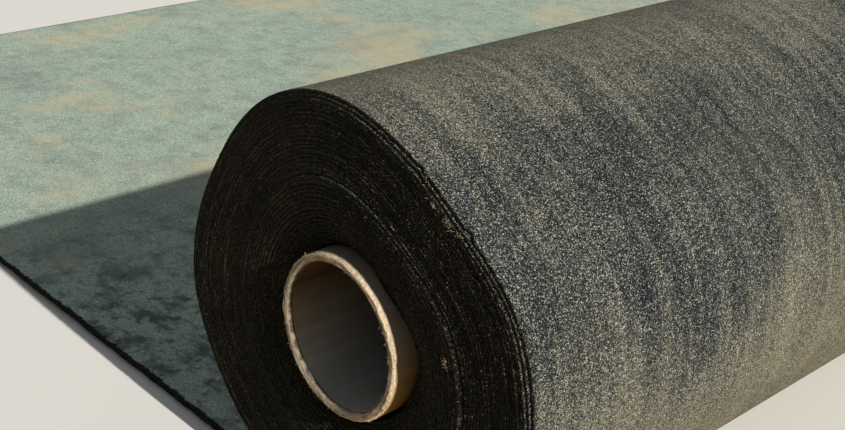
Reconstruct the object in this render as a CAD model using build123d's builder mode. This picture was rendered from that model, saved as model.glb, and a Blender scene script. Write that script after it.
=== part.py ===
"""A roll of mineral faced roofing felt on its tube, with its free end laid out flat.

The roll lies on its side on a level floor. Its axis runs along X, the floor is z = 0, and the
origin is on the floor where the free end leaves the roll, midway along the felt.
"""
import os
from math import radians, sin

from build123d import *

# The felt as it is made: a bitumen sheet with a sanded back and a mineral face.
felt_width = 1000.0
felt_thickness = 1.93

# The tube that the felt is wound on.
tube_bore_diameter = 70.0
tube_wall = 4.1
tube_clearance = 0.3
tube_near_projection = 2.6
tube_far_projection = 5.5
tube_edge_break = 0.8

# The winding.
turn_count = 38
turn_edge_relief = 1.0

# The ends of the roll. The turns have slipped along each other: near the tube they draw back from
# the near end, the first few pressed into one even cone, a group of turns stands proud of those
# outside it, and the last few lie looser and step back one by one.
dish_depth = 8.2
dish_turns = 10
pressed_turns = 5
proud_turns = 16
proud_step = 2.2
loose_turns = 3
loose_step = 0.8

# The free end, which lies on the floor beside the roll.
free_end_length = 930.0
free_end_shift = 16.5

tube_inner_radius = tube_bore_diameter / 2
tube_outer_radius = tube_inner_radius + tube_wall
winding_inner_radius = tube_outer_radius + tube_clearance
roll_radius = winding_inner_radius + turn_count * felt_thickness
near_end = -felt_width / 2
far_end = felt_width / 2


def turn_drift(turn):
    """How far one turn has slipped towards the far end; turn 0 is on the tube."""
    dished = dish_depth * max(0.0, 1 - turn / dish_turns) ** 2
    stepped = proud_step if turn >= proud_turns else 0.0
    loose = loose_step * max(0, turn - (turn_count - loose_turns) + 1)
    uneven = 0.5 * turn_edge_relief * (1 + sin(radians(137.5 * turn)))
    return dished + stepped + loose + uneven


def end_outline(end, inward):
    """Points of one wound end from the tube outwards, with one ridge and one groove a turn."""
    points = [(winding_inner_radius, end + turn_drift(0))]
    for turn in range(pressed_turns, turn_count):
        ridge = end + turn_drift(turn)
        groove = ridge + inward * turn_edge_relief
        radius = winding_inner_radius + turn * felt_thickness
        points.append((radius, groove))
        points.append((radius + felt_thickness / 2, ridge))
    points.append((roll_radius, end + turn_drift(turn_count - 1)))
    return points


# The tube: spiral wound board, cut square, with its edges a little broken.
tube_near_end = near_end - tube_near_projection
tube_far_end = far_end + tube_far_projection
tube_start = Plane.YZ.offset(tube_near_end)
tube_axis_height = roll_radius

with BuildPart() as core_tube:
    with BuildSketch(tube_start):
        with Locations((0, tube_axis_height)):
            Circle(tube_outer_radius)
            Circle(tube_inner_radius, mode=Mode.SUBTRACT)
    extrude(amount=tube_far_end - tube_near_end)
    chamfer(core_tube.edges().filter_by(GeomType.CIRCLE), tube_edge_break)

# The felt: the wound turns, with the free end running out flat under the roll.
# The profile is drawn in the XZ plane and turned about the roll's own axis.
near_points = end_outline(near_end, 1)
far_points = end_outline(far_end, -1)
roll_axis = Axis((0, 0, roll_radius), (1, 0, 0))
outline = [(along, roll_radius + radius) for radius, along in near_points]
outline += [(along, roll_radius + radius) for radius, along in reversed(far_points)]

with BuildPart() as felt_roll:
    with BuildSketch(Plane.XZ):
        with BuildLine():
            Polyline(*outline, close=True)
        make_face()
    revolve(axis=roll_axis)
    with BuildSketch(Plane.XY):
        with Locations((free_end_shift, 0)):
            Rectangle(felt_width, free_end_length, align=(Align.CENTER, Align.MIN))
    extrude(amount=felt_thickness)

felt_roll.part.label = "felt_roll"
core_tube.part.label = "core_tube"

os.makedirs("parts", exist_ok=True)
export_step(felt_roll.part, "parts/felt_roll.step")
export_step(core_tube.part, "parts/core_tube.step")

print(f"roll diameter {2 * roll_radius:.1f} mm, tube {2 * tube_outer_radius:.1f} mm outside")
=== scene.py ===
"""A roll of mineral faced roofing felt on its board tube, its free end laid out flat on the floor."""
import math

import bpy
import numpy as np
from mathutils import Matrix, Vector


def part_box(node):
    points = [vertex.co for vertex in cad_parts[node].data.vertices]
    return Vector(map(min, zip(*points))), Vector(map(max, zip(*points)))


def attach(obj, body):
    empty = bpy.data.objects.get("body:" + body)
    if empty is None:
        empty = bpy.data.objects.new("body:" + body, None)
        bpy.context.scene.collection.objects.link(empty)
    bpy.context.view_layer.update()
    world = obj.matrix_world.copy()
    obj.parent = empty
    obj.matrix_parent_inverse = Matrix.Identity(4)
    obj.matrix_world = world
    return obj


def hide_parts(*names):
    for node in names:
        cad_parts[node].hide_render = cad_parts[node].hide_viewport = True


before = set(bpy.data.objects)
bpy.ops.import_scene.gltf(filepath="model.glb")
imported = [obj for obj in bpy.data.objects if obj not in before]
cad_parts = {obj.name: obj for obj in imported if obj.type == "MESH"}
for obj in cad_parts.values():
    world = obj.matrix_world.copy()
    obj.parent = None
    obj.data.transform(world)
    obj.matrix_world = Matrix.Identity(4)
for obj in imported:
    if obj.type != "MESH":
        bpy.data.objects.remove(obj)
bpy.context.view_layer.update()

# The camera stands beside the near end and looks down along the roll.
# Its place and turn were worked out from the end's outline, the tube's rim and the laid edge.
camera_place = Vector((-0.8019, -0.3791, 0.3811))
camera_heading = math.radians(47.3)
camera_dip = math.radians(23.4)
camera_tilt = math.radians(1.4)
camera_lens = 53.4

sight = Vector((
    math.cos(camera_heading) * math.cos(camera_dip),
    math.sin(camera_heading) * math.cos(camera_dip),
    -math.sin(camera_dip),
))
level_right = sight.cross(Vector((0, 0, 1))).normalized()
level_up = level_right.cross(sight)
right = math.cos(camera_tilt) * level_right + math.sin(camera_tilt) * level_up
up = math.cos(camera_tilt) * level_up - math.sin(camera_tilt) * level_right
camera = bpy.data.objects.new("camera", bpy.data.cameras.new("camera"))
camera_turn = Matrix((right, up, -sight)).transposed().to_4x4()
camera.matrix_world = Matrix.Translation(camera_place) @ camera_turn
camera.data.lens = camera_lens
camera.data.sensor_width = 36.0
camera.data.clip_start = 0.01
bpy.context.scene.collection.objects.link(camera)
bpy.context.scene.camera = camera
bpy.context.scene.view_settings.view_transform = "Standard"

# One low key light grazes the near end from just in front of it, so that the cut edges catch it
# only on their grit. A pale sky fills the shade.
key_height = math.radians(27.8)
key_ahead = math.radians(1.8)
key = bpy.data.objects.new("key_light", bpy.data.lights.new("key_light", "SUN"))
key.data.energy = 5.0
key.data.angle = math.radians(0.8)
key.data.color = (1.0, 0.95, 0.87)
ray = Vector((
    math.sin(key_ahead),
    math.cos(key_ahead) * math.cos(key_height),
    -math.sin(key_height),
))
key.rotation_mode = "QUATERNION"
key.rotation_quaternion = ray.to_track_quat("-Z", "Y")
bpy.context.scene.collection.objects.link(key)

sky = bpy.data.worlds.new("sky")
bpy.context.scene.world = sky
sky.use_nodes = True
sky.node_tree.nodes["Background"].inputs["Color"].default_value = (0.90, 0.95, 1.0, 1)
sky.node_tree.nodes["Background"].inputs["Strength"].default_value = 0.21


# The floor is a plain pale sheet, far larger than the picture, and lies just under the felt.
# It looks grey white to the camera, and the light that it throws back onto the roll is warm.
class Finish:
    """A material under construction: its nodes are added by kind and fed by name."""

    def __init__(self, name):
        self.material = bpy.data.materials.new(name)
        self.material.use_nodes = True
        self.tree = self.material.node_tree
        self.shader = self.tree.nodes["Principled BSDF"]

    def feed(self, socket, value):
        """Link a socket to another node's output, or set it; a colour is given without its alpha."""
        if isinstance(value, bpy.types.NodeSocket):
            self.tree.links.new(value, socket)
        else:
            socket.default_value = (*value, 1) if socket.type == "RGBA" else value

    def wire(self, node, **sockets):
        """Feed sockets by name, with an underscore for each space in it."""
        for name, value in sockets.items():
            self.feed(node.inputs[name.replace("_", " ")], value)

    def add(self, kind, attribute_name=None, **sockets):
        """One more node, with its sockets fed by name."""
        node = self.tree.nodes.new(kind)
        if attribute_name is not None:
            node.attribute_name = attribute_name
        self.wire(node, **sockets)
        return node

    def place(self, source="Object"):
        return self.add("ShaderNodeTexCoord").outputs[source]

    def coordinate(self, where, axis):
        return self.add("ShaderNodeSeparateXYZ", Vector=where).outputs[axis]

    def mist(self, where, scale, detail=3.0, rough=0.6, stretch=(1, 1, 1), shift=(0, 0, 0)):
        """Cloudy noise, from 0 to 1."""
        turned = self.add("ShaderNodeMapping", Vector=where, Scale=stretch, Location=shift)
        noise = self.add("ShaderNodeTexNoise", Vector=turned.outputs[0], Scale=scale,
                         Detail=detail, Roughness=rough)
        return noise.outputs["Fac"]

    def grains(self, where, scale):
        """Packed grains: two random numbers for each grain, and the distance from its middle."""
        cells = self.add("ShaderNodeTexVoronoi", Vector=where, Scale=scale)
        number = self.add("ShaderNodeSeparateColor", Color=cells.outputs["Color"])
        return number.outputs[0], number.outputs[1], cells.outputs["Distance"]

    def blend(self, base, *parts):
        """A base value plus each part, given as (share, value)."""
        total = base
        for share, value in parts:
            total = self.calc("ADD", total, self.calc("MULTIPLY", value, share))
        return total

    def ramp(self, value, *stops):
        """A colour or grey for each value; stops are (value, colour) pairs."""
        node = self.add("ShaderNodeValToRGB", Fac=value)
        ends = node.color_ramp.elements
        while len(ends) < len(stops):
            ends.new(0.5)
        for element, (at, colour) in zip(ends, stops):
            element.position = at
            element.color = (*colour, 1) if isinstance(colour, tuple) else (*[colour] * 3, 1)
        return node.outputs["Color"]

    def mix(self, amount, first, second):
        """The first colour passing into the second, by an amount from 0 to 1."""
        node = self.tree.nodes.new("ShaderNodeMix")
        node.data_type = "RGBA"
        for place, value in ((0, amount), (6, first), (7, second)):
            self.feed(node.inputs[place], value)
        return node.outputs[2]

    def calc(self, operation, first, second):
        node = self.tree.nodes.new("ShaderNodeMath")
        node.operation = operation
        for socket, value in zip(node.inputs, (first, second)):
            self.feed(socket, value)
        return node.outputs[0]

    def bump(self, height, distance, strength=1.0):
        node = self.add("ShaderNodeBump", Height=height, Distance=distance, Strength=strength)
        return node.outputs["Normal"]

    def finish(self, colour, roughness, normal=None, specular=0.5):
        self.wire(self.shader, Base_Color=colour, Roughness=roughness, Specular_IOR_Level=specular)
        if normal is not None:
            self.wire(self.shader, Normal=normal)
        return self.material


floor_reach = 40.0
floor_level = -0.0002
floor_corners = [(-1, -1), (1, -1), (1, 1), (-1, 1)]
floor_points = [(floor_reach * x, floor_reach * y, floor_level) for x, y in floor_corners]
floor_mesh = bpy.data.meshes.new("floor")
floor_mesh.from_pydata(floor_points, [], [(0, 1, 2, 3)])
floor = bpy.data.objects.new("floor", floor_mesh)
bpy.context.scene.collection.objects.link(floor)
plain = Finish("plain_floor")
rays = plain.add("ShaderNodeLightPath").outputs
mirrored = plain.calc("MAXIMUM", rays["Is Glossy Ray"], rays["Is Transmission Ray"])
seen = plain.calc("MAXIMUM", rays["Is Camera Ray"], mirrored)
floor_colour = plain.mix(seen, (0.55, 0.41, 0.20), (0.78, 0.77, 0.74))
floor_mesh.materials.append(plain.finish(floor_colour, 0.9))


# The tube is board, wound from glued plies and sawn to length.
# The saw left its rim ragged: the plies stand at uneven heights and their fibres are torn.
tube_low, tube_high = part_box("core_tube")
bore_radius = 0.035
tube_radius = (tube_high[2] - tube_low[2]) / 2
axis_height = (tube_high[2] + tube_low[2]) / 2
tube_plies = 9
tube_sides = 900
wall_rings = 12

# The rim is a lip of board at each end of the plain wall. Its plies stand unevenly and a little
# proud in places, its two edges are broken and chipped, and the saw has worn it to a slope.
lip_length = 0.0032
rim_rag = 0.0007
rim_proud = 0.0002
edge_break = 0.0002
chip_width = 0.0005
chip_depth = 0.0006
outer_wear = 0.0013
bore_wear = 0.0007

# Furrows between the plies, where the saw burst them: direction, spread in degrees and strength.
bursts = [(218, 15, 1.0), (168, 8, 0.8)]
furrow_depth = 0.0013


def haze(points, size, seed):
    """Smooth random numbers from -1 to 1 at points given in metres, with features of about one size."""
    cell = np.floor(points / size).astype(np.int64)
    part = points / size - cell
    part = part * part * (3 - 2 * part)
    total = np.zeros(len(points))
    low_bits = 0xFFFFFFFF
    for corner in range(8):
        step = np.array([corner & 1, corner >> 1 & 1, corner >> 2 & 1])
        place = (cell + step) * np.array([73856093, 19349663, 83492791])
        mixed = (place[:, 0] ^ place[:, 1] ^ place[:, 2] ^ (seed * 2654435761)) & low_bits
        for bits, factor in ((15, 2246822519), (13, 3266489917)):
            mixed = (mixed ^ (mixed >> bits)) * factor & low_bits
        mixed = mixed ^ (mixed >> 16)
        share = np.prod(np.where(step == 1, part, 1 - part), axis=1)
        total += share * (mixed / 0x7FFFFFFF - 1)
    return total


def ring_points(angle, size):
    """Points on a circle that is size metres round, so that haze closes on itself."""
    radius = size / (2 * np.pi)
    return np.stack([radius * np.cos(angle), radius * np.sin(angle), np.zeros_like(angle)], axis=1)


def mesh_piece(name, points, patches, materials, marks=None):
    """A closed mesh from points and patches, each given as faces, material number, smoothness and map.

    marks says how torn each point is, from 0 to 1.
    """
    mesh = bpy.data.meshes.new(name)
    mesh.vertices.add(len(points))
    mesh.vertices.foreach_set("co", np.asarray(points, dtype=np.float32).ravel())
    sizes = np.concatenate([np.full(len(faces), faces.shape[1]) for faces, *_ in patches])
    mesh.loops.add(int(sizes.sum()))
    corners = np.concatenate([faces.ravel() for faces, *_ in patches])
    mesh.loops.foreach_set("vertex_index", corners.astype(np.int32))
    mesh.polygons.add(len(sizes))
    mesh.polygons.foreach_set("loop_start", (np.cumsum(sizes) - sizes).astype(np.int32))
    for name_of_value, place in (("material_index", 1), ("use_smooth", 2)):
        values = np.concatenate([np.full(len(patch[0]), patch[place]) for patch in patches])
        mesh.polygons.foreach_set(name_of_value, values.astype(np.int32))
    charts = [np.zeros((faces.size, 2)) if chart is None else chart.reshape(-1, 2)
              for faces, _, _, chart in patches]
    layer = mesh.uv_layers.new(name="strip")
    layer.data.foreach_set("uv", np.concatenate(charts).astype(np.float32).ravel())
    if marks is not None:
        layer = mesh.attributes.new("torn", "FLOAT", "POINT")
        layer.data.foreach_set("value", marks.astype(np.float32))
    for material in materials:
        mesh.materials.append(material)
    mesh.update(calc_edges=True)
    piece = bpy.data.objects.new(name, mesh)
    bpy.context.scene.collection.objects.link(piece)
    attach(piece, "root")
    return piece


def torn_board():
    """The torn rim: pale fibre on its worn outer plies, greyer and darker inward of them, and a liner
    band at the bore painted dark as shade where the key light reaches it.
    """
    board = Finish("torn_board")
    where = board.place()
    fibre = board.mist(where, 900.0, 4.0, 0.7)
    blotch = board.mist(where, 60.0, 3.0, 0.6)
    colour = board.ramp(fibre, (0.30, (0.32, 0.24, 0.15)), (0.48, (0.62, 0.49, 0.32)),
                        (0.70, (0.88, 0.75, 0.53)))
    colour = board.mix(board.ramp(blotch, (0.35, 0.0), (0.7, 0.45)), colour, (0.52, 0.41, 0.28))
    offset = board.add("ShaderNodeMapping", Vector=where, Location=(0, 0, -axis_height),
                       Scale=(0, 1, 1)).outputs[0]
    reach = board.add("ShaderNodeVectorMath", Vector=offset)
    reach.operation = "LENGTH"
    share = board.calc("SUBTRACT", tube_radius, reach.outputs["Value"])
    share = board.calc("DIVIDE", share, tube_radius - bore_radius)
    colour = board.mix(board.ramp(share, (0.20, 0.0), (0.34, 0.80)), colour, (0.19, 0.165, 0.135))
    # The liner band at the bore is painted dark on the side towards the free end, where the key light
    # reaches into the bore: painted shade.
    side = board.calc("DIVIDE", board.coordinate(offset, 1), bore_radius)
    side = board.ramp(side, (0.15, 0.0), (0.70, 1.0))
    liner_and_painted_shade = board.mix(side, (0.30, 0.26, 0.20), (0.055, 0.043, 0.028))
    colour = board.mix(board.ramp(share, (0.95, 0.0), (0.998, 0.92)), colour, liner_and_painted_shade)
    return board.finish(colour, 0.95, board.bump(fibre, 0.0006))


def smooth_board(name, light, dark, high, deep, reach, roughness):
    """Liner board: faintly cloudy, with painted shade in the high colour towards the top and in the deep
    colour from the ends inward.
    """
    board = Finish(name)
    where = board.place()
    along, _, height = board.add("ShaderNodeSeparateXYZ", Vector=where).outputs
    rise = board.calc("SUBTRACT", height, axis_height - bore_radius)
    rise = board.calc("DIVIDE", rise, 2 * bore_radius)
    from_end = board.calc("MINIMUM", board.calc("SUBTRACT", along, tube_low[0]),
                          board.calc("SUBTRACT", tube_high[0], along))
    inward = board.calc("DIVIDE", from_end, reach)
    cloud = board.mist(where, 28.0, 4.0, 0.55)
    fibre = board.mist(where, 1400.0, 2.0, 0.5, stretch=(0.15, 1, 1))
    colour = board.ramp(cloud, (0.3, dark), (0.7, light))
    colour = board.mix(board.ramp(fibre, (0.35, 0.0), (0.65, 0.18)), colour, light)
    # Painted shade: the high colour towards the top of the tube, and the deep colour from its ends
    # inward.
    colour = board.mix(board.ramp(rise, (0.15, 0.0), (0.70, 0.97)), colour, high)
    colour = board.mix(board.ramp(inward, (0.10, 0.0), (1.0, 0.85)), colour, deep)
    return board.finish(colour, roughness, board.bump(fibre, 0.0001), specular=0.3)


def rim_depth(share):
    """The rim's slope across the wall: the outer plies are worn back and the bore's edge is rounded."""
    outer = outer_wear * np.clip(1 - share / 0.28, 0, 1)
    inner = bore_wear * np.clip((share - 0.62) / 0.38, 0, 1) ** 2
    return outer + inner


def tube_section():
    """The angles round the tube, and the rings of its wall as a radius and a place at each angle."""
    angle = np.linspace(0, 2 * np.pi, tube_sides, endpoint=False)
    degrees = np.degrees(angle)
    circle = ring_points(angle, 2 * np.pi * tube_radius)
    burst = sum(strength * np.exp(-((degrees - direction) / spread) ** 2)
                for direction, spread, strength in bursts)
    lips = []
    for end, inward, seed in ((tube_low[0], 1, 3), (tube_high[0], -1, 19)):
        swell = 0.5 + 0.5 * haze(circle, 0.018, seed + 40)
        lip = []
        for ply in range(tube_plies + 1):
            share = ply / tube_plies
            middle = np.sin(np.pi * share)
            edge = 1.0 if ply in (0, tube_plies) else 0.0
            radius = tube_radius + (bore_radius - tube_radius) * share
            height = haze(circle + ply // 3, 0.0065, seed + ply // 3)
            height = height + 0.50 * haze(circle + ply, 0.0019, seed)
            deep = middle * (0.5 + swell + 0.8 * burst)
            furrow = 0.6 + 0.6 * haze(circle + ply // 2, 0.0032, seed + 7)
            furrow = furrow_depth * burst * middle * furrow
            ragged = np.clip(rim_rag * (0.25 + 0.7 * height * deep), -rim_proud, None) + furrow
            chips = np.clip(haze(circle, 0.0047, seed + 80 + ply) - 0.25, 0, 1)
            chipped = (chip_width if ply else -chip_width) * chips
            wobble = 0.00016 * haze(circle, 0.0022, seed + 60 + ply)
            wobble = wobble + 0.0002 * edge * haze(circle, 0.0035, seed + 80)
            wobble = wobble + edge * (chipped + 0.00012 * haze(circle, 0.0012, seed + 90))
            depth = ragged + (edge_break + chip_depth * chips) * edge + rim_depth(share)
            lip.append((radius + wobble, end + inward * depth))
        lips.append(lip)
    wall_places = np.linspace(tube_low[0] + lip_length, tube_high[0] - lip_length, wall_rings)
    outside, inside = [[(np.full(tube_sides, radius), np.full(tube_sides, at)) for at in wall_places]
                       for radius in (tube_radius, bore_radius)]
    near_lip, far_lip = lips
    return angle, near_lip + inside + far_lip[::-1] + outside[::-1]


angle, rings = tube_section()
count = len(rings)
points = np.zeros((tube_sides, count, 3))
for column, (radius, along) in enumerate(rings):
    points[:, column, 0] = along
    points[:, column, 1] = radius * np.cos(angle)
    points[:, column, 2] = axis_height + radius * np.sin(angle)
here = np.arange(tube_sides) * count
beyond = np.roll(here, -1)
inside_from = tube_plies + 1
far_rim_from = inside_from + wall_rings - 1
outside_from = far_rim_from + tube_plies + 1
patches = []
for column in range(count):
    after = (column + 1) % count
    inside = inside_from <= column < far_rim_from
    outside = column >= outside_from
    faces = np.stack([here + column, here + after, beyond + after, beyond + column], axis=1)
    patches.append((faces, 1 if inside else 2 if outside else 0, inside or outside, None))
# The bore is painted darker and browner towards its top and darker deeper in from its ends; the outside
# is painted greyer towards its top and dark brown where it goes into the felt. All four are painted
# shade.
tube_piece = mesh_piece("board_tube", points.reshape(-1, 3), patches, [
    torn_board(),
    smooth_board("tube_inside", light=(0.42, 0.41, 0.38), dark=(0.32, 0.31, 0.28),
                 high=(0.060, 0.022, 0.001), deep=(0.026, 0.022, 0.014), reach=0.095, roughness=0.6),
    smooth_board("tube_outside", light=(0.37, 0.205, 0.050), dark=(0.26, 0.140, 0.030),
                 high=(0.25, 0.22, 0.18), deep=(0.060, 0.030, 0.006), reach=0.022, roughness=0.65),
])
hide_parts("core_tube")


# The fibres at the tube's near rim are the board's own, still held at one end.
# They stand up where the saw tore the plies, each bent its own way.
def tufts(name, places, length, thickness, seed, material):
    """Short bent fibres standing out of the near end, one at each place, each turned its own way."""
    tree = bpy.data.node_groups.new(name, "GeometryNodeTree")
    tree.interface.new_socket("Places", in_out="INPUT", socket_type="NodeSocketGeometry")
    tree.interface.new_socket("Fibres", in_out="OUTPUT", socket_type="NodeSocketGeometry")
    inputs = {}
    sizes = (("Length", "Float", length), ("Thickness", "Float", thickness), ("Seed", "Int", seed))
    for label, kind, value in sizes:
        socket = tree.interface.new_socket(label, in_out="INPUT", socket_type="NodeSocket" + kind)
        inputs[socket.identifier] = value

    def add(kind, *links, **settings):
        """One more node; a socket is given another node, one of its outputs, or a plain value."""
        node = tree.nodes.new(kind)
        for setting, value in settings.items():
            setattr(node, setting, value)
        for socket, source in links:
            if isinstance(source, bpy.types.Node):
                source = source.outputs[0]
            if isinstance(source, bpy.types.NodeSocket):
                tree.links.new(source, node.inputs[socket])
            else:
                node.inputs[socket].default_value = source
        return node

    given = add("NodeGroupInput").outputs
    bend = add("GeometryNodeCurveQuadraticBezier", ("Resolution", 5), ("Start", (0, 0, -0.1)),
               ("Middle", (0.1, 0, 0.6)), ("End", (0.7, 0.2, 0.7)))
    girth = add("ShaderNodeMath", (0, given["Thickness"]), (1, given["Length"]), operation="DIVIDE")
    section = add("GeometryNodeCurvePrimitiveCircle", ("Resolution", 5), ("Radius", girth))
    fibre = add("GeometryNodeCurveToMesh", ("Curve", bend), ("Profile Curve", section),
                ("Fill Caps", True))
    spots = add("GeometryNodeMeshToPoints", ("Mesh", given["Places"]))
    outward = add("FunctionNodeAlignRotationToVector", ("Vector", (-1, 0, 0)), axis="Z")
    turned = add("FunctionNodeRandomValue", ("Min", (-1.0, -1.0, -3.1)), ("Max", (1.0, 1.0, 3.1)),
                 ("Seed", given["Seed"]), data_type="FLOAT_VECTOR")
    facing = add("FunctionNodeRotateRotation", ("Rotation", outward), ("Rotate By", turned),
                 rotation_space="LOCAL")
    grown = add("FunctionNodeRandomValue", (2, 0.35), (3, 1.0), ("Seed", given["Seed"]),
                data_type="FLOAT")
    scale = add("ShaderNodeMath", (0, grown.outputs[1]), (1, given["Length"]), operation="MULTIPLY")
    stood = add("GeometryNodeInstanceOnPoints", ("Points", spots), ("Instance", fibre),
                ("Rotation", facing), ("Scale", scale))
    whole = add("GeometryNodeRealizeInstances", (0, stood))
    painted = add("GeometryNodeSetMaterial", ("Geometry", whole), ("Material", material))
    add("NodeGroupOutput", (0, painted))

    ground = bpy.data.meshes.new(name + "_places")
    ground.from_pydata([tuple(place) for place in places], [], [])
    piece = bpy.data.objects.new(name, ground)
    bpy.context.scene.collection.objects.link(piece)
    modifier = piece.modifiers.new("fibres", "NODES")
    modifier.node_group = tree
    for identifier, value in inputs.items():
        modifier[identifier] = value
    graph = bpy.context.evaluated_depsgraph_get()
    shape = bpy.data.meshes.new_from_object(piece.evaluated_get(graph), depsgraph=graph)
    shape.materials.clear()
    shape.materials.append(material)
    shape.polygons.foreach_set("material_index", np.zeros(len(shape.polygons), dtype=np.int32))
    piece.modifiers.clear()
    piece.data = shape
    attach(piece, "root")
    return piece


# Where the rim is torn: direction, spread in degrees and how many fibres stand up.
# Each has its foot a little below the surface.
rim_tears = [(216, 9, 60), (13, 1.5, 10), (154, 2.0, 14), (172, 3.0, 24), (331, 2.0, 10), (50, 5.0, 26),
             (95, 40, 36), (270, 50, 40), (230, 30, 20)]
fibre_foot = 0.0002
draw = np.random.default_rng(11)
rim_places = []
for direction, spread, amount in rim_tears:
    turned = np.radians(draw.normal(direction, spread, amount))
    share = draw.uniform(0.05, 0.95, amount)
    radius = tube_radius + (bore_radius - tube_radius) * share
    along = tube_low[0] + rim_depth(share) + fibre_foot
    height = axis_height + radius * np.sin(turned)
    rim_places.append(np.stack([along, radius * np.cos(turned), height], axis=1))
rim_fibres = tufts("rim_fibres", np.concatenate(rim_places), length=0.0016, thickness=0.00008, seed=5,
                   material=tube_piece.data.materials[0])


# The felt is one strip wound on the tube: bitumen on a carrier, sanded behind, mineral on its face.
# Its edges were cut clean, and from the ends each turn is a black band between two lines of grit.
# The turns have slipped and sagged, so the ends are dished, stepped and torn in places.
felt_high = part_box("felt_roll")[1]
felt_width = 1.0
felt_thickness = 0.00193
turn_count = 38
wound_turns = turn_count - 2
roll_radius = axis_height
winding_start = roll_radius - turn_count * felt_thickness
wound_length = turn_count * np.pi * (winding_start + roll_radius)
near_end = -felt_width / 2
far_end = felt_width / 2
mid_width = (near_end + far_end) / 2

# How the turns have slipped: the inner ones are dished, the next stand proud, those from
# proud_turns on lie at a slant, and those from loose_from on step back one by one.
dish_turns = 10.0
dish_fall = 1.6
proud_turns = 16.5
proud_step = 0.0009
slant = 0.0020
loose_from = 34.5
loose_step = 0.0008

# Out of round, dish and slump by direction, in millimetres.
# 0 degrees is towards the free end, 90 degrees is up.
sag_by_direction = {0: 4.9, 15: -0.9, 30: -5.2, 45: -4.7, 60: -2.3, 80: -1.2, 95: -3.5, 110: -7.2,
                    128: -8.6, 138: -7.1, 155: 0.9, 168: -0.3, 185: 0.4, 220: 4.2, 270: -0.4,
                    315: 1.9, 350: 7.3}
dish_by_direction = {0: 8.0, 90: 8.2, 115: 5.6, 130: 4.2, 145: 5.6, 160: 8.6, 180: 12.0, 205: 8.6,
                     270: 7.5}
slump_by_direction = {0: 0.0, 90: 0.9, 125: -0.3, 150: 3.0, 185: 5.3, 240: 2.0, 290: 0.0}

# Places where the near end is torn: direction, radius, length along the turn, depth and paleness.
# The pale ones show the carrier's fibre, and the others are nicks in the bitumen.
tears = [
    (124.5, 0.1063, 0.0030, -0.0005, 0.8),
    (130.4, 0.1067, 0.0034, -0.0007, 0.9),
    (133.8, 0.1081, 0.0016, -0.0006, 1.0),
    (116.5, 0.1101, 0.0022, 0.0012, 0.0),
    (119.2, 0.1118, 0.0012, -0.0003, 0.8),
    (135.0, 0.1110, 0.0022, 0.0018, 0.0),
    (165.3, 0.0668, 0.0026, -0.0006, 1.0),
    (117.3, 0.0765, 0.0008, -0.0004, 0.9),
    (106.6, 0.0691, 0.0007, -0.0004, 0.9),
    (150.0, 0.1070, 0.0012, -0.0004, 0.5),
]

# A turn's cut edge: where it bends over, its crown, the grooves beside it, and the seam behind it.
bevel_share = 0.13
turn_crown = 0.0001
groove_depth = 0.0008
least_groove = 0.0002
seam_step = 0.0004


def by_direction(values, degrees):
    """A smooth closed curve through values listed by direction."""
    directions, listed = list(values), list(values.values())
    blur = ((-8, 0.15), (-4, 0.22), (0, 0.26), (4, 0.22), (8, 0.15))
    return sum(share * np.interp(degrees + shift, directions, listed, period=360)
               for shift, share in blur)


def winding_angle(turn):
    """Direction of a place on the strip, counted in turns from the tube."""
    return 2 * np.pi * (turn - (turn_count - 1)) - np.pi / 2


def on_roll(turn, radius, along):
    """A point on the sagged roll at a radius of the true round one."""
    angle = winding_angle(turn)
    degrees = np.degrees(angle)
    share = np.clip((radius - winding_start) / (roll_radius - winding_start), 0, 1)
    sag = by_direction(sag_by_direction, degrees) * share
    slump = by_direction(slump_by_direction, degrees) * 4 * share * (1 - share)
    radius = radius + (sag + slump) / 1000
    return np.stack([along, radius * np.cos(angle), axis_height + radius * np.sin(angle)], axis=1)


def ease(value):
    """A soft step from 0 to 1."""
    value = np.clip(value, 0, 1)
    return value * value * (3 - 2 * value)


def drift(turn):
    """How far the strip lies towards the far end at each turn, because the turns have slipped."""
    angle = winding_angle(turn)
    dish = by_direction(dish_by_direction, np.degrees(angle)) / 1000
    outer = ease((turn - proud_turns) * 6)
    dished = dish * np.clip(1 - turn / dish_turns, 0, 1) ** dish_fall
    proud = proud_step * (1 - outer) * ease((turn - 7) / 6)
    slanted = slant * (np.cos(angle) - 0.35) * outer * turn / turn_count
    loose = loose_step * np.clip(turn - loose_from, 0, 3) * (0.25 + 0.75 * ease(-np.cos(angle) + 0.5))
    return dished - proud - slanted + loose


def jitter(turn, seed):
    """The small unevenness of the strip's edge, turn by turn and along each turn."""
    angle = winding_angle(turn)
    around = np.stack([0.03 * np.cos(angle), 0.03 * np.sin(angle), turn * 0.0105], axis=1)
    slow = 0.00030 * haze(around, 0.021, seed) + 0.00026 * haze(around, 0.0063, seed + 1)
    along = np.stack([turn * 0.55, np.floor(turn) * 0.37, turn * 0], axis=1)
    fine = 0.00012 * haze(along, 0.0021, seed + 2) + 0.00008 * haze(along, 0.0008, seed + 3)
    return slow + fine


def torn(turn, radius):
    """How torn the near end is at a place on it, from 0 to 1, and how deep the tear goes there."""
    angle = winding_angle(turn)
    share = np.zeros_like(turn)
    depth = np.zeros_like(turn)
    for direction, at, length, deep, pale in tears:
        away = (angle - math.radians(direction) + np.pi) % (2 * np.pi) - np.pi
        reach = (away * at / length) ** 2 + ((radius - at) / (0.35 * length + 0.0007)) ** 2
        ragged = haze(np.stack([angle * at, radius, turn * 0], axis=1), 0.0011, 77)
        near = np.exp(-reach * (1.2 + 0.5 * ragged))
        share = np.maximum(share, near * pale)
        depth = depth + deep * near
    return share, depth


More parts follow.
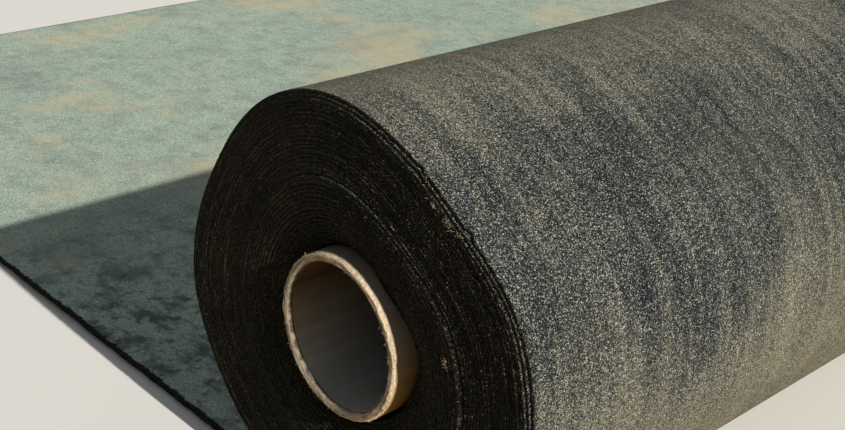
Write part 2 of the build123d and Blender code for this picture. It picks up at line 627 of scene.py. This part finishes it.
def cut_edge_finish():
    """Cut edges: black bitumen, slate grit along the inner side and pale sand along the outer side."""
    edge = Finish("cut_edge")
    where = edge.place()
    chart = edge.place("UV")
    across = edge.coordinate(chart, 1)
    number, tone, middle = edge.grains(where, 2500.0)
    dust = edge.ramp(edge.mist(where, 330.0, 3.0, 0.65, shift=(3, 1, 2)), (0.35, 0.0), (0.65, 1.0))
    grime = edge.ramp(edge.mist(where, 30.0, 4.0, 0.6), (0.40, 0.0), (0.62, 1.0))
    streak = edge.mist(chart, 1.0, 3.0, 0.6, stretch=(110.0, 3.0, 1.0))
    streak = edge.ramp(streak, (0.42, 0.0), (0.62, 1.0))
    bitumen = edge.mix(dust, (0.0009, 0.0008, 0.0005), (0.0026, 0.0023, 0.0014))
    slate = edge.ramp(tone, (0.0, (0.005, 0.005, 0.003)), (0.6, (0.017, 0.017, 0.009)),
                      (0.9, (0.050, 0.048, 0.028)), (1.0, (0.13, 0.12, 0.08)))
    sand = edge.ramp(tone, (0.0, (0.016, 0.018, 0.017)), (0.5, (0.050, 0.052, 0.044)),
                     (0.85, (0.17, 0.17, 0.14)), (1.0, (0.42, 0.41, 0.34)))
    inner_side = edge.ramp(across, (0.06, 0.75), (0.30, 0.20), (0.60, 0.12))
    outer_side = edge.ramp(across, (0.72, 0.0), (0.90, 0.85))
    # Some turns show more of their sand than others, by their share of the wound length.
    wound = edge.calc("DIVIDE", edge.coordinate(chart, 0), wound_length)
    bared = edge.ramp(wound, (0.40, 0.40), (0.425, 0.45), (0.437, 1.0), (0.47, 0.90), (0.52, 0.38),
                      (0.85, 0.40), (0.90, 1.0))
    outer_side = edge.calc("MULTIPLY", outer_side, bared)
    share = edge.blend(0.0, (0.50, inner_side), (0.18, dust), (0.22, grime), (0.26, streak))
    shown = edge.ramp(edge.calc("SUBTRACT", share, number), (0.0, 0.0), (0.16, 1.0))
    colour = edge.mix(shown, bitumen, slate)
    share = edge.blend(0.0, (0.62, outer_side), (0.14, dust), (0.16, streak))
    shown = edge.ramp(edge.calc("SUBTRACT", share, number), (0.06, 0.0), (0.20, 1.0))
    colour = edge.mix(edge.calc("MULTIPLY", shown, outer_side), colour, sand)
    carrier = edge.ramp(edge.mist(where, 800.0, 3.0, 0.7), (0.40, (0.004, 0.003, 0.002)),
                        (0.50, (0.055, 0.032, 0.014)), (0.64, (0.30, 0.24, 0.155)))
    tear = edge.add("ShaderNodeAttribute", attribute_name="torn").outputs["Fac"]
    ragged = edge.blend(tear, (0.7, edge.mist(where, 420.0, 2.0, 0.6)))
    colour = edge.mix(edge.ramp(ragged, (0.78, 0.0), (0.98, 1.0)), colour, carrier)
    height = edge.calc("SUBTRACT", 1.0, middle)
    return edge.finish(colour, 0.9, edge.bump(height, 0.0003, 0.6), specular=0.12)


def wound_end(name, end, inward, per_turn, seed, finish):
    """Half the winding: the edges of its turns at one end, and plain walls back to mid width.

    per_turn is the number of steps in a turn, and inward is 1 or -1, the way into the roll.
    """
    turn = np.arange((wound_turns + 1) * per_turn + 1) / per_turn
    inner = winding_start + felt_thickness * turn
    wander = 0.00024 * haze(np.stack([turn * 0.3, turn * 0.011, turn * 0], axis=1), 0.021, seed + 9)
    inner = inner + wander * np.clip(turn / 2, 0, 1) * np.clip(turn_count - 2 - turn, 0, 1)
    level = drift(turn) + jitter(turn, seed)
    if inward > 0:
        level = level + torn(turn, inner + felt_thickness / 2)[1]
    behind = np.concatenate([level[:per_turn], level[:-per_turn]])
    deeper = np.maximum(level, behind) if inward > 0 else np.minimum(level, behind)
    spot = np.stack([turn * 0.2, turn * 0.013, turn * 0 + 5], axis=1)
    gap = groove_depth + 0.0006 * haze(spot, 0.03, seed + 12)
    groove = deeper + inward * np.clip(gap, least_groove, None)
    rows = wound_turns * per_turn + 1
    columns = [on_roll(turn, inner, end + groove)]
    marks = [torn(turn, inner)[0]]
    low_radius = inner[:rows]
    high_radius = inner[per_turn:per_turn + rows]
    for share, lift in ((bevel_share, 0.0), (0.50, turn_crown * inward), (1 - bevel_share, 0.0)):
        radius = low_radius + share * (high_radius - low_radius)
        spot = np.stack([turn[:rows] * 0.55, turn[:rows] * 0 + share, turn[:rows]], axis=1)
        rag = 0.00012 * haze(spot, 0.0013, seed + 20)
        columns.append(on_roll(turn[:rows], radius, end + level[:rows] - lift + rag))
        marks.append(torn(turn[:rows], radius)[0])
    starts = np.cumsum([0] + [len(column) for column in columns])
    inner_back = columns[0][:per_turn + 1].copy()
    outer_back = columns[0][rows - 1:rows + per_turn].copy()
    # The walls end at mid width on a slight slant, so that the seam's face keeps an area.
    inner_back[:, 0] = mid_width - inward * np.linspace(0, seam_step, per_turn + 1)
    outer_back[:, 0] = inner_back[:, 0]
    points = np.concatenate(columns + [inner_back, outer_back])
    marks = np.concatenate(marks + [np.zeros(2 * per_turn + 2)]) * (1.0 if inward > 0 else 0.0)
    inner_start = starts[4]
    outer_start = inner_start + per_turn + 1
    row = np.arange(rows - 1)
    lanes = [row, starts[1] + row, starts[2] + row, starts[3] + row, row + per_turn]
    shares = [0.0, bevel_share, 0.50, 1 - bevel_share, 1.0]
    length = turn / turn_count * wound_length
    patches = []
    for first, second, low, high in zip(lanes, lanes[1:], shares, shares[1:]):
        faces = np.stack([first, second, second + 1, first + 1], axis=1)
        u = np.stack([length[row], length[row], length[row + 1], length[row + 1]], axis=1)
        v = np.tile([low, high, high, low], (len(row), 1))
        patches.append((faces, 0, True, np.stack([u, v], axis=2)))
    ring = np.arange(per_turn)
    last = rows - 1
    front = last + ring
    inner_ring = inner_start + ring
    outer_ring = outer_start + ring
    first_lane, second_lane, third_lane = starts[1:4]
    walls = [
        np.stack([ring, ring + 1, inner_ring + 1, inner_ring], axis=1),
        np.stack([front + 1, front, outer_ring, outer_ring + 1], axis=1),
        np.stack([inner_ring + 1, outer_ring + 1, outer_ring, inner_ring], axis=1),
        np.array([[0, inner_start, inner_start + per_turn, per_turn]]),
        np.array([[0, per_turn, third_lane, second_lane, first_lane]]),
        np.array([[last + per_turn, outer_start + per_turn, outer_start, last]]),
        np.array([[last, first_lane + last, second_lane + last, third_lane + last, last + per_turn]]),
        np.array([[inner_start, outer_start, outer_start + per_turn, inner_start + per_turn]]),
    ]
    patches += [(wall, 0, False, None) for wall in walls]
    if inward > 0:
        patches = [(faces[:, ::-1], number, smooth, None if chart is None else chart[:, ::-1])
                   for faces, number, smooth, chart in patches]
    piece = mesh_piece(name, points, patches, [finish], marks)


cut_edge = cut_edge_finish()
near_seed = 101
far_seed = 202
wound_end("near_turns", near_end, 1, 640, near_seed, cut_edge)
wound_end("far_turns", far_end, -1, 420, far_seed, cut_edge)


# The outermost turn runs on into the free end: one strip, sanded side out, mineral side up where
# it lies flat. It was unrolled a little askew, so the free end lies further along than the roll.
turn_steps = 780
flat_steps = 300
free_end_length = felt_high[1]
free_end_shift = felt_high[0] - far_end
leaving_shift = 0.0075
strip_crown = 0.00012
edge_depths = (0.20, 0.50, 0.80)
torn_share = 0.0015
sanded_side = 0
cut_side = 1
mineral_side = 2

# How the laid felt lifts off the floor, and how its long edges and its cut end curl up.
laid_lift = 0.0005
side_curl = 0.0014
side_curl_share = 0.016
end_curl = 0.0016
end_curl_share = 0.2
end_wear = 0.0008


def sanded_finish():
    """Fine sand in blue black bitumen: bare in patches, dusty in others, scuffed in bands, and paler
    round the top and underside of the roll as dust and painted sheen.
    """
    sand = Finish("sanded_back")
    where = sand.place()
    chart = sand.place("UV")
    number, tone, middle = sand.grains(where, 2850.0)
    patch = sand.mist(chart, 1.0, 6.0, 0.62, stretch=(9.0, 15.0, 1.0))
    patch = sand.ramp(patch, (0.42, 0.0), (0.60, 1.0))
    wide = sand.ramp(sand.mist(where, 5.0, 3.0, 0.6, shift=(4, 2, 7)), (0.40, 0.0), (0.62, 1.0))
    clump = sand.ramp(sand.mist(where, 260.0, 3.0, 0.6), (0.38, 0.0), (0.64, 1.0))
    knot = sand.ramp(sand.mist(where, 1050.0, 1.0, 0.5, shift=(9, 2, 5)), (0.40, 0.0), (0.60, 1.0))
    bands = sand.mist(chart, 1.0, 4.0, 0.65, stretch=(4.0, 26.0, 1.0), shift=(0.4, 0.7, 0))
    bands = sand.ramp(bands, (0.38, 0.0), (0.64, 1.0))
    scuffs = sand.mist(chart, 1.0, 5.0, 0.7, stretch=(8.0, 150.0, 1.0), shift=(2.4, 0.1, 0))
    scuffs = sand.ramp(scuffs, (0.42, 0.0), (0.60, 1.0))
    # The sand is painted paler towards the top and the underside of the roll and darkest on its side
    # facing the key light: thicker dust in part, and painted sheen where the roll is seen at a slant;
    # along runs round the turn.
    along = sand.coordinate(chart, 0)
    sand_and_painted_sheen = sand.ramp(along, (0.27, 0.95), (0.35, 0.75), (0.42, 0.0), (0.49, 0.05), (0.56, 0.90),
                    (0.60, 1.0))
    ground = sand.mix(patch, (0.0045, 0.0068, 0.0098), (0.0100, 0.0115, 0.0115))
    share = sand.blend(0.13, (0.14, patch), (0.07, bands), (0.16, scuffs), (0.10, clump), (0.24, knot),
                       (0.27, sand_and_painted_sheen))
    pale_grit = sand.ramp(tone, (0.0, (0.022, 0.025, 0.024)), (0.45, (0.112, 0.114, 0.094)),
                          (0.80, (0.310, 0.302, 0.236)), (1.0, (0.58, 0.56, 0.44)))
    dark_grit = sand.ramp(tone, (0.0, (0.010, 0.015, 0.021)), (0.50, (0.056, 0.070, 0.076)),
                          (0.84, (0.170, 0.188, 0.178)), (1.0, (0.48, 0.49, 0.42)))
    grit = sand.mix(sand.ramp(share, (0.42, 0.0), (0.74, 1.0)), dark_grit, pale_grit)
    shown = sand.ramp(sand.calc("SUBTRACT", share, number), (0.0, 0.0), (0.10, 1.0))
    colour = sand.mix(shown, ground, grit)
    # The dust film follows the bands round the roll too, so it carries painted sheen as well as dust.
    dust_and_painted_light = sand.blend(-0.30, (0.34, wide), (0.26, bands), (0.52, sand_and_painted_sheen), (0.12, scuffs))
    colour = sand.mix(sand.ramp(dust_and_painted_light, (0.0, 0.0), (0.9, 0.38)), colour, (0.170, 0.157, 0.110))
    height = sand.calc("MULTIPLY", sand.calc("SUBTRACT", 1.0, middle), shown)
    sand.wire(sand.shader, Sheen_Weight=0.04, Sheen_Roughness=0.6, Sheen_Tint=(0.80, 0.78, 0.62))
    return sand.finish(colour, 0.92, sand.bump(height, 0.0003, 0.6), specular=0.1)


def mineral_finish():
    """Green grey slate granules: dark bluish blotches near the roll, wear and painted shade, tan dust
    further out, dust and painted light, and bare at the cut.
    """
    slate = Finish("mineral_face")
    where = slate.place()
    chart = slate.place("UV")
    _, tone, middle = slate.grains(where, 1300.0)
    blotch = slate.mist(where, 30.0, 6.0, 0.70, stretch=(1.5, 1, 1))
    speck = slate.mist(where, 120.0, 4.0, 0.65, shift=(7, 7, 2))
    wide = slate.mist(where, 8.0, 4.0, 0.6, shift=(2, 9, 4))
    dust_and_painted_light = slate.mist(where, 6.0, 5.0, 0.65, shift=(6, 1, 3))
    # Near the roll, in its shadow, the blotches and specks are bluish dark: wear and painted shade. The
    # tan dust is kept further out, in the light: dust and painted light.
    ahead = slate.coordinate(where, 1)
    trodden_and_painted_shade = slate.ramp(ahead, (0.26, 1.0), (0.42, 0.26))
    dust_and_painted_light_zone = slate.ramp(ahead, (0.24, 0.0), (0.40, 1.0))
    colour = slate.ramp(tone, (0.0, (0.21, 0.30, 0.27)), (0.4, (0.34, 0.455, 0.38)),
                        (0.75, (0.45, 0.545, 0.44)), (0.97, (0.64, 0.71, 0.58)))
    wear_and_painted_shade = slate.calc("MULTIPLY", slate.ramp(blotch, (0.47, 0.0), (0.60, 0.85)), trodden_and_painted_shade)
    colour = slate.mix(wear_and_painted_shade, colour, (0.068, 0.088, 0.110))
    specks_and_painted_shade = slate.calc("MULTIPLY", slate.ramp(speck, (0.54, 0.0), (0.66, 0.75)), trodden_and_painted_shade)
    colour = slate.mix(specks_and_painted_shade, colour, (0.085, 0.075, 0.070))
    colour = slate.mix(slate.ramp(wide, (0.50, 0.0), (0.72, 0.35)), colour, (0.16, 0.17, 0.17))
    dust_and_painted_light = slate.calc("MULTIPLY", slate.ramp(dust_and_painted_light, (0.50, 0.0), (0.64, 0.55)), dust_and_painted_light_zone)
    colour = slate.mix(dust_and_painted_light, colour, (0.62, 0.51, 0.32))
    side = slate.coordinate(chart, 1)
    side = slate.calc("MINIMUM", side, slate.calc("SUBTRACT", felt_width, side))
    side = slate.blend(side, (-0.0060, slate.mist(where, 200.0, 4.0, 0.7)))
    bare = slate.ramp(slate.calc("MULTIPLY", side, 100.0), (0.0, 1.0), (0.10, 0.0))
    colour = slate.mix(bare, colour, (0.006, 0.006, 0.006))
    normal = slate.bump(slate.calc("SUBTRACT", 1.0, middle), 0.0005, 0.6)
    return slate.finish(colour, 0.9, normal, specular=0.3)


def across_width():
    """Places across the strip, close together at its edges, as shares of its width."""
    edge = [0.0004, 0.0012, 0.003, 0.007, 0.015, 0.028]
    inside = list(np.linspace(0.05, 0.95, 28))
    return edge + inside + [1 - at for at in reversed(edge)]


def outer_strip():
    """The last turn and the free end as one closed strip, in rows of points round its section."""
    turn = turn_count - 2 + np.arange(turn_steps + 1) / turn_steps
    leaving = ease((turn - (turn_count - 1.25)) * 4)
    settled = drift(turn)
    level = settled + leaving * (leaving_shift - settled)
    chip = torn(turn, winding_start + felt_thickness * (turn + 0.5))
    ahead = np.linspace(0, 1, flat_steps + 1)[1:] ** 1.15 * free_end_length
    laid = np.stack([ahead, ahead * 0, ahead * 0], axis=1)
    ragged = 0.0004 * haze(laid, 0.011, 301) + 0.00022 * haze(laid, 0.0019, 302)
    askew = leaving_shift + (free_end_shift - leaving_shift) * ahead / free_end_length
    near = np.concatenate([level + jitter(turn, near_seed) + chip[1], askew + ragged]) + near_end
    far = np.concatenate([level + jitter(turn, far_seed), askew + ragged[::-1]]) + near_end + felt_width
    rows = len(turn) + len(ahead)
    wound = len(turn)
    shares = across_width()
    section = [(share, 0.0, sanded_side) for share in shares]
    section += [(1.0, depth, cut_side) for depth in edge_depths]
    section += [(share, 1.0, mineral_side) for share in reversed(shares)]
    section += [(0.0, depth, cut_side) for depth in reversed(edge_depths)]
    count = len(section)
    points = np.zeros((rows, count, 3))
    marks = np.zeros((rows, count))
    for column, (share, depth, _) in enumerate(section):
        crown = strip_crown if depth == 0.5 else 0.0
        along = near + share * (far - near) + {0.0: -crown, 1.0: crown}.get(share, 0.0)
        radius = winding_start + felt_thickness * (turn + 1 - depth)
        points[:wound, column] = on_roll(turn, radius, along[:wound])
        marks[:wound, column] = chip[0] if share < torn_share else 0.0
        waves = np.stack([along[wound:], ahead, ahead * 0], axis=1)
        lift = laid_lift * ease(ahead / 0.25) * (1 + haze(waves, 0.17, 310))
        side = np.exp(-min(share, 1 - share) / side_curl_share)
        curl = side_curl * side * ease(ahead / 0.10) * (1 + 0.5 * haze(waves, 0.06, 311))
        to_end = (ahead - (1 - end_curl_share) * free_end_length) / (end_curl_share * free_end_length)
        rise = end_curl * ease(to_end) ** 2
        points[wound:, column, 0] = along[wound:]
        points[wound:, column, 1] = ahead
        points[wound:, column, 2] = felt_thickness * depth + lift + curl + rise
    points[-1, :, 1] += 0.0007 * haze(points[-1], 0.012, 320) - end_wear
    row = np.arange(rows - 1) * count
    next_row = row + count
    once_round = 2 * np.pi * roll_radius
    length = np.concatenate([(turn - turn[0]) * once_round, once_round + ahead])
    patches = []
    for column in range(count):
        after = (column + 1) % count
        sides = (section[column][2], section[after][2])
        if cut_side in sides:
            side = cut_side
            low, high = 1 - section[column][1], 1 - section[after][1]
        else:
            side = sides[0]
            low, high = felt_width * section[column][0], felt_width * section[after][0]
        faces = np.stack([row + column, next_row + column, next_row + after, row + after], axis=1)
        u = np.stack([length[:-1], length[1:], length[1:], length[:-1]], axis=1)
        v = np.tile([low, low, high, high], (rows - 1, 1))
        patches.append((faces, side, True, np.stack([u, v], axis=2)))
    across = len(shares)
    pairs = np.arange(across - 1)
    opposite = 2 * across + 2 - pairs
    cap = np.stack([pairs, opposite, opposite - 1, pairs + 1], axis=1)
    cap_sides = np.array([[0, 2 * across + 5, 2 * across + 4, 2 * across + 3, 2 * across + 2],
                          [across - 1, across + 3, across + 2, across + 1, across]])
    for faces in (cap, cap_sides):
        patches.append((faces[:, ::-1], cut_side, False, None))
        patches.append((faces + (rows - 1) * count, cut_side, False, None))
    return mesh_piece("outer_turn_and_free_end", points.reshape(-1, 3), patches,
                      [sanded_finish(), cut_edge, mineral_finish()], marks.ravel())


strip = outer_strip()
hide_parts("felt_roll")


# The carrier is a thin mat of fibres inside the bitumen: brown where soaked, and pale where bare.
# At the tears of the near end its fibres stand out of the cut edge, still held at one end.
fibre_spacing = 0.00018


def carrier_finish():
    fibre = Finish("carrier_fibre")
    tint = fibre.mist(fibre.place(), 700.0, 2.0, 0.6)
    colour = fibre.ramp(tint, (0.36, (0.030, 0.018, 0.009)), (0.48, (0.19, 0.14, 0.085)),
                        (0.62, (0.58, 0.52, 0.41)))
    return fibre.finish(colour, 0.9, specular=0.2)


draw = np.random.default_rng(23)
tear_places = []
for direction, at, length, deep, pale in tears:
    amount = int(pale * length / fibre_spacing)
    turned = math.radians(direction) + draw.normal(0, 0.45 * length, amount) / at
    radius = at + draw.normal(0, 0.12 * length + 0.0003, amount)
    share = ((turned + np.pi / 2) / (2 * np.pi)) % 1.0
    turn = np.floor((radius - winding_start) / felt_thickness - share) + share
    turn = np.clip(turn, 0, turn_count - 1)
    tear_places.append(on_roll(turn, radius, near_end + drift(turn) + deep + fibre_foot))
tear_fibres = tufts("tear_fibres", np.concatenate(tear_places), length=0.0017, thickness=0.00009, seed=9,
                    material=carrier_finish())
